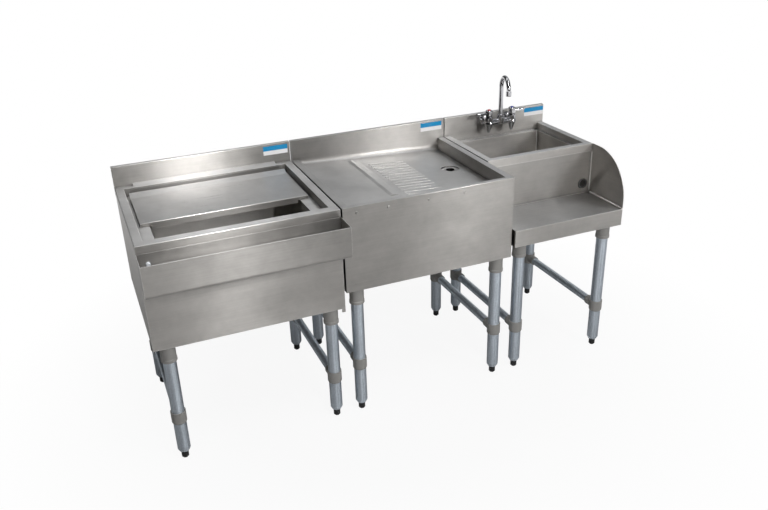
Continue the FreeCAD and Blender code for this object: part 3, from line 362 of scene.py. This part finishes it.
def dress_frame():
    """Every CAD node gets its material. The steel's level differs a little between the sheets: lit
    and shaded copies of one steel, each sheet painted lighter or darker.
    """
    sheet = stainless("stainless_sheet", 1.0, 0.38)
    board = stainless("stainless_board", 0.96, 0.33, edge_light=0.1, rubbed_highlight_radius=0.0014)
    cover = stainless("stainless_cover", 1.0, 0.30, haze_depth=0.25)
    sink_sheet = stainless("stainless_sink_sheet", 1.2, 0.38)
    paint(["bin_top", "sink_front_panel", "blender_shelf", "side_splash"], sheet)
    paint(["sink_top", "sink_bowl"], sink_sheet)
    paint(["bin_shell"], stainless("stainless_shell", 1.12, 0.36))
    paint(["speed_rail"], stainless("stainless_rail", 0.88, 0.38))
    paint(["drainboard_top", "drainboard_body", "drainboard_screws"], board)
    paint(["sliding_cover", "rear_cover"], cover)
    paint(["bin_liner", "sink_frame"], stainless("stainless_inside", 1.3, 0.48))
    paint(["joining_bolts"], stainless("stainless_bright", 1.2, 0.36))
    paint(["faucet_body", "faucet_locknuts", "faucet_spout", "spout_nut", "faucet_aerator",
           "hot_handle", "cold_handle", "drain_nuts"], chrome("chrome_plate", (0.60, 0.60, 0.62)))

    zinc = (0.63, 0.69, 0.755)
    leg_zinc = galvanised("zinc_leg", zinc, "Z")
    brace_zinc = galvanised("zinc_brace", zinc, "Y")
    alloy = cast_alloy("cast_fitting", (0.37, 0.36, 0.345))
    for unit in ("bin", "drainboard", "sink"):
        paint([unit + "_drain"], outlet(unit + "_outlet", unit + "_drain"))
        paint([unit + "_legs"], leg_zinc)
        paint([unit + "_leg_braces"], brace_zinc)
        paint([unit + "_leg_sockets", unit + "_leg_tees"], alloy)
        paint([unit + "_label"], label_film(unit + "_label_film", unit + "_label"))

    paint([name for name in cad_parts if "_foot_" in name],
          moulded("foot_plastic", (0.018, 0.018, 0.019), 0.5))
    paint(["cord_grommet"], moulded("grommet_rubber", (0.055, 0.054, 0.052), 0.6))
    paint(["rail_cap_nut"], moulded("white_nylon", (0.75, 0.78, 0.82), 0.4))
    paint(["hot_index"], moulded("red_index", (0.42, 0.01, 0.02), 0.25))
    paint(["cold_index"], moulded("blue_index", (0.01, 0.03, 0.30), 0.25))
    paint(["bin_insulation"], moulded("foam", (0.62, 0.50, 0.24), 0.85, 300.0))


# ------------------------------------------------------------------ welds
RIPPLE = 0.0024                # metres from one ripple of a weld to the next
RINGS_PER_RIPPLE = 4
ARC_STEPS = 5                  # faces from one wall to the other
WELD_SINK = 0.0002             # metres that a weld's root lies inside the corner
WELD_HOLLOW = 0.22             # how much flatter than a quarter circle the weld's face is
SHEET_THICK = 0.0012
TAB_GAP = 0.001                # the splash's welded tabs stand this far off panel and shelf


def weld_bead(name, start, end, walls, material, reach=0.004):
    """Fillet weld in a corner, from start to end: a rippled bulge between two walls, whose
    directions away from the corner are given, closed and tapered at both ends."""
    start, end = Vector(start), Vector(end)
    along = end - start
    first, second = (Vector(wall) for wall in walls)
    ripples = along.length / RIPPLE
    rings = int(ripples * RINGS_PER_RIPPLE)
    shape = bmesh.new()
    loops = []
    for i in range(rings + 1):
        share = i / rings
        size = reach * (0.9 + 0.1 * math.sin(share * ripples * 2 * math.pi))
        size *= min(1, 0.35 + 12 * min(share, 1 - share))
        root = start + along * share - (first + second) * WELD_SINK
        spots = [root]
        for step in range(ARC_STEPS + 1):
            angle = math.pi / 2 * step / ARC_STEPS
            bulge = size * (1 - WELD_HOLLOW * math.sin(2 * angle))
            spots.append(root + (first * math.cos(angle) + second * math.sin(angle)) * bulge)
        loops.append([shape.verts.new(spot) for spot in spots])
    for ring, following in zip(loops, loops[1:]):
        for k in range(len(ring)):
            shape.faces.new((ring[k], ring[k - 1], following[k - 1], following[k]))
    shape.faces.new(loops[0])
    shape.faces.new(list(reversed(loops[-1])))
    bmesh.ops.recalc_face_normals(shape, faces=shape.faces)
    mesh = bpy.data.meshes.new(name)
    shape.to_mesh(mesh)
    shape.free()
    for face in mesh.polygons:
        face.use_smooth = True
    bead = bpy.data.objects.new(name, mesh)
    bpy.context.scene.collection.objects.link(bead)
    mesh.materials.append(material)
    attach(bead, "station")


def make_welds():
    """Welds round the side splash: its upright corner, its foot and the back of the shelf."""
    # painted highlight: the beads' steel is painted 1.7 times the sheet's tone, so the seams read
    # as bright lines
    bright = stainless("weld_bead", 1.7, 0.3, edge_light=0.0)
    leftward, forward, upward = (-1, 0, 0), (0, -1, 0), (0, 0, 1)
    splash_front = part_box("side_splash")[0][1]
    panel_low, panel_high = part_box("sink_front_panel")
    inner = panel_high[0] - SHEET_THICK    # the splash's inner face
    face, foot = panel_low[1], panel_low[2]
    tab_face, tab_foot = face - TAB_GAP, foot + TAB_GAP
    # each bead stops a few millimetres short of the sheets' ends and of the other beads
    weld_bead("corner_weld", (inner, tab_face, tab_foot + 0.002),
              (inner, tab_face, panel_high[2] - 0.001), (leftward, forward), bright)
    weld_bead("foot_weld", (inner, splash_front + 0.004, tab_foot),
              (inner, tab_face - 0.002, tab_foot), (leftward, upward), bright)
    weld_bead("shelf_weld", (panel_low[0] + 0.006, face, foot), (inner - 0.0045, face, foot),
              (forward, upward), bright, reach=0.0014)


# ------------------------------------------------------------------ stage and light
FLOOR_HALF = 60.0              # metres
FLOOR_GREY = (0.55, 0.55, 0.55, 1)
NEAR_WHITE = (0.6, 1.5, 0.92, 1.0)     # to the camera: from and to distance, from and to share
FAR_WHITE = (1.6, 4.0, 0.0, 1.0)       # to mirror and glass rays
SURROUND_TINT = (0.955, 0.98, 1.0, 1)
SURROUND_DEPTH = (-0.5, 0.8, 0.07, 0.25)     # brighter behind the object than towards the viewer
SURROUND_LEFT = (-0.25, 0.30, 0.2, 1.0)      # dim on the left
SURROUND_RIGHT = (0.30, 0.50, 1.0, 2.1)      # bright on the far right


def make_stage():
    """A large pale floor that fades to plain white away from the object and keeps its shadow."""
    mesh = bpy.data.meshes.new("floor")
    corners = [(x * FLOOR_HALF, y * FLOOR_HALF, 0) for x, y in ((-1, -1), (1, -1), (1, 1), (-1, 1))]
    mesh.from_pydata(corners, [], [(0, 1, 2, 3)])
    floor = bpy.data.objects.new("floor", mesh)
    bpy.context.scene.collection.objects.link(floor)
    n = Nodes("studio_floor")
    n.shader.inputs["Base Color"].default_value = FLOOR_GREY
    n.shader.inputs["Roughness"].default_value = 1.0
    n.shader.inputs["Specular IOR Level"].default_value = 0.0
    distance = n.add("ShaderNodeVectorMath", operation="LENGTH")
    n.link(n.place, distance.inputs[0])
    path = n.add("ShaderNodeLightPath")
    mirrored = n.maths("MAXIMUM", path.outputs["Is Glossy Ray"],
                       path.outputs["Is Transmission Ray"])
    near_white = n.ramp(distance.outputs["Value"], *NEAR_WHITE)
    far_white = n.ramp(distance.outputs["Value"], *FAR_WHITE)
    share = n.maths("ADD", n.maths("MULTIPLY", near_white, path.outputs["Is Camera Ray"]),
                    n.maths("MULTIPLY", far_white, mirrored))
    white = n.add("ShaderNodeEmission")
    mix = n.add("ShaderNodeMixShader")
    for source, socket in zip((share, n.shader.outputs[0], white.outputs[0]), mix.inputs):
        n.link(source, socket)
    n.link(mix.outputs[0], n.tree.nodes["Material Output"].inputs["Surface"])
    mesh.materials.append(n.material)


def make_world():
    """Plain white to the camera. The steel mirrors a surround that is pale behind the object and
    dim towards the viewer and on the left."""
    world = bpy.data.worlds.new("studio")
    world.use_nodes = True
    tree = world.node_tree
    place = tree.nodes.new("ShaderNodeTexCoord")
    parts = tree.nodes.new("ShaderNodeSeparateXYZ")
    tree.links.new(place.outputs["Generated"], parts.inputs[0])

    def ramp(axis, limits):
        node = tree.nodes.new("ShaderNodeMapRange")
        node.interpolation_type = "SMOOTHSTEP"
        for name, value in zip(("From Min", "From Max", "To Min", "To Max"), limits):
            node.inputs[name].default_value = value
        tree.links.new(parts.outputs[axis], node.inputs["Value"])
        return node.outputs[0]

    def times(a, b):
        node = tree.nodes.new("ShaderNodeMath")
        node.operation = "MULTIPLY"
        tree.links.new(a, node.inputs[0])
        tree.links.new(b, node.inputs[1])
        return node.outputs[0]

    sides = times(ramp("X", SURROUND_LEFT), ramp("X", SURROUND_RIGHT))
    surround = tree.nodes["Background"]
    surround.inputs["Color"].default_value = SURROUND_TINT
    tree.links.new(times(ramp("Y", SURROUND_DEPTH), sides), surround.inputs["Strength"])
    white = tree.nodes.new("ShaderNodeBackground")
    white.inputs["Color"].default_value = (1, 1, 1, 1)
    path = tree.nodes.new("ShaderNodeLightPath")
    mix = tree.nodes.new("ShaderNodeMixShader")
    sources = (path.outputs["Is Camera Ray"], surround.outputs[0], white.outputs[0])
    for source, socket in zip(sources, mix.inputs):
        tree.links.new(source, socket)
    tree.links.new(mix.outputs[0], tree.nodes["World Output"].inputs["Surface"])
    bpy.context.scene.world = world


# name, place, point aimed at, width and height in metres, watts
LAMPS = (
    ("key_light", (-0.17, -2.4, 1.95), (-0.5, 0.1, 0.6), (0.20, 0.8), 15.5),
    ("high_key", (-0.20, -1.4, 3.35), (-0.5, 0.27, 0.77), (0.26, 0.8), 29),
    ("corner_fill", (-2.13, -4.0, 2.6), (0.8, -0.05, 0.65), (0.3, 1.0), 4),
    ("right_key", (1.46, -2.4, 2.1), (0.3, 0.0, 0.6), (0.07, 0.9), 18),
    ("right_fill", (1.84, -2.4, 2.1), (0.4, 0.0, 0.6), (0.30, 0.9), 4.5),
    ("far_fill", (2.75, -2.3, 2.1), (0.7, 0.0, 0.6), (0.4, 0.9), 10),
    ("overhead", (0.4, -0.75, 3.3), (0.1, -0.2, 0.77), (2.6, 0.5), 14),
    ("top_light", (0.2, 0.9, 3.0), (0.0, 0.1, 0.7), (3.0, 1.0), 8),
)


def make_lights():
    """Tall narrow lamps give the steel its bright upright bands, and wide ones fill its tops."""
    for name, place, aim, (width, height), watts in LAMPS:
        data = bpy.data.lights.new(name, "AREA")
        data.shape = "RECTANGLE"
        data.size, data.size_y = width, height
        data.energy = watts
        light = bpy.data.objects.new(name, data)
        bpy.context.scene.collection.objects.link(light)
        light.location = place
        light.rotation_euler = (Vector(aim) - Vector(place)).to_track_quat("-Z", "Y").to_euler()


bpy.context.scene.view_settings.view_transform = "Standard"
make_camera()
dress_frame()
make_welds()
make_stage()
make_world()
make_lights()
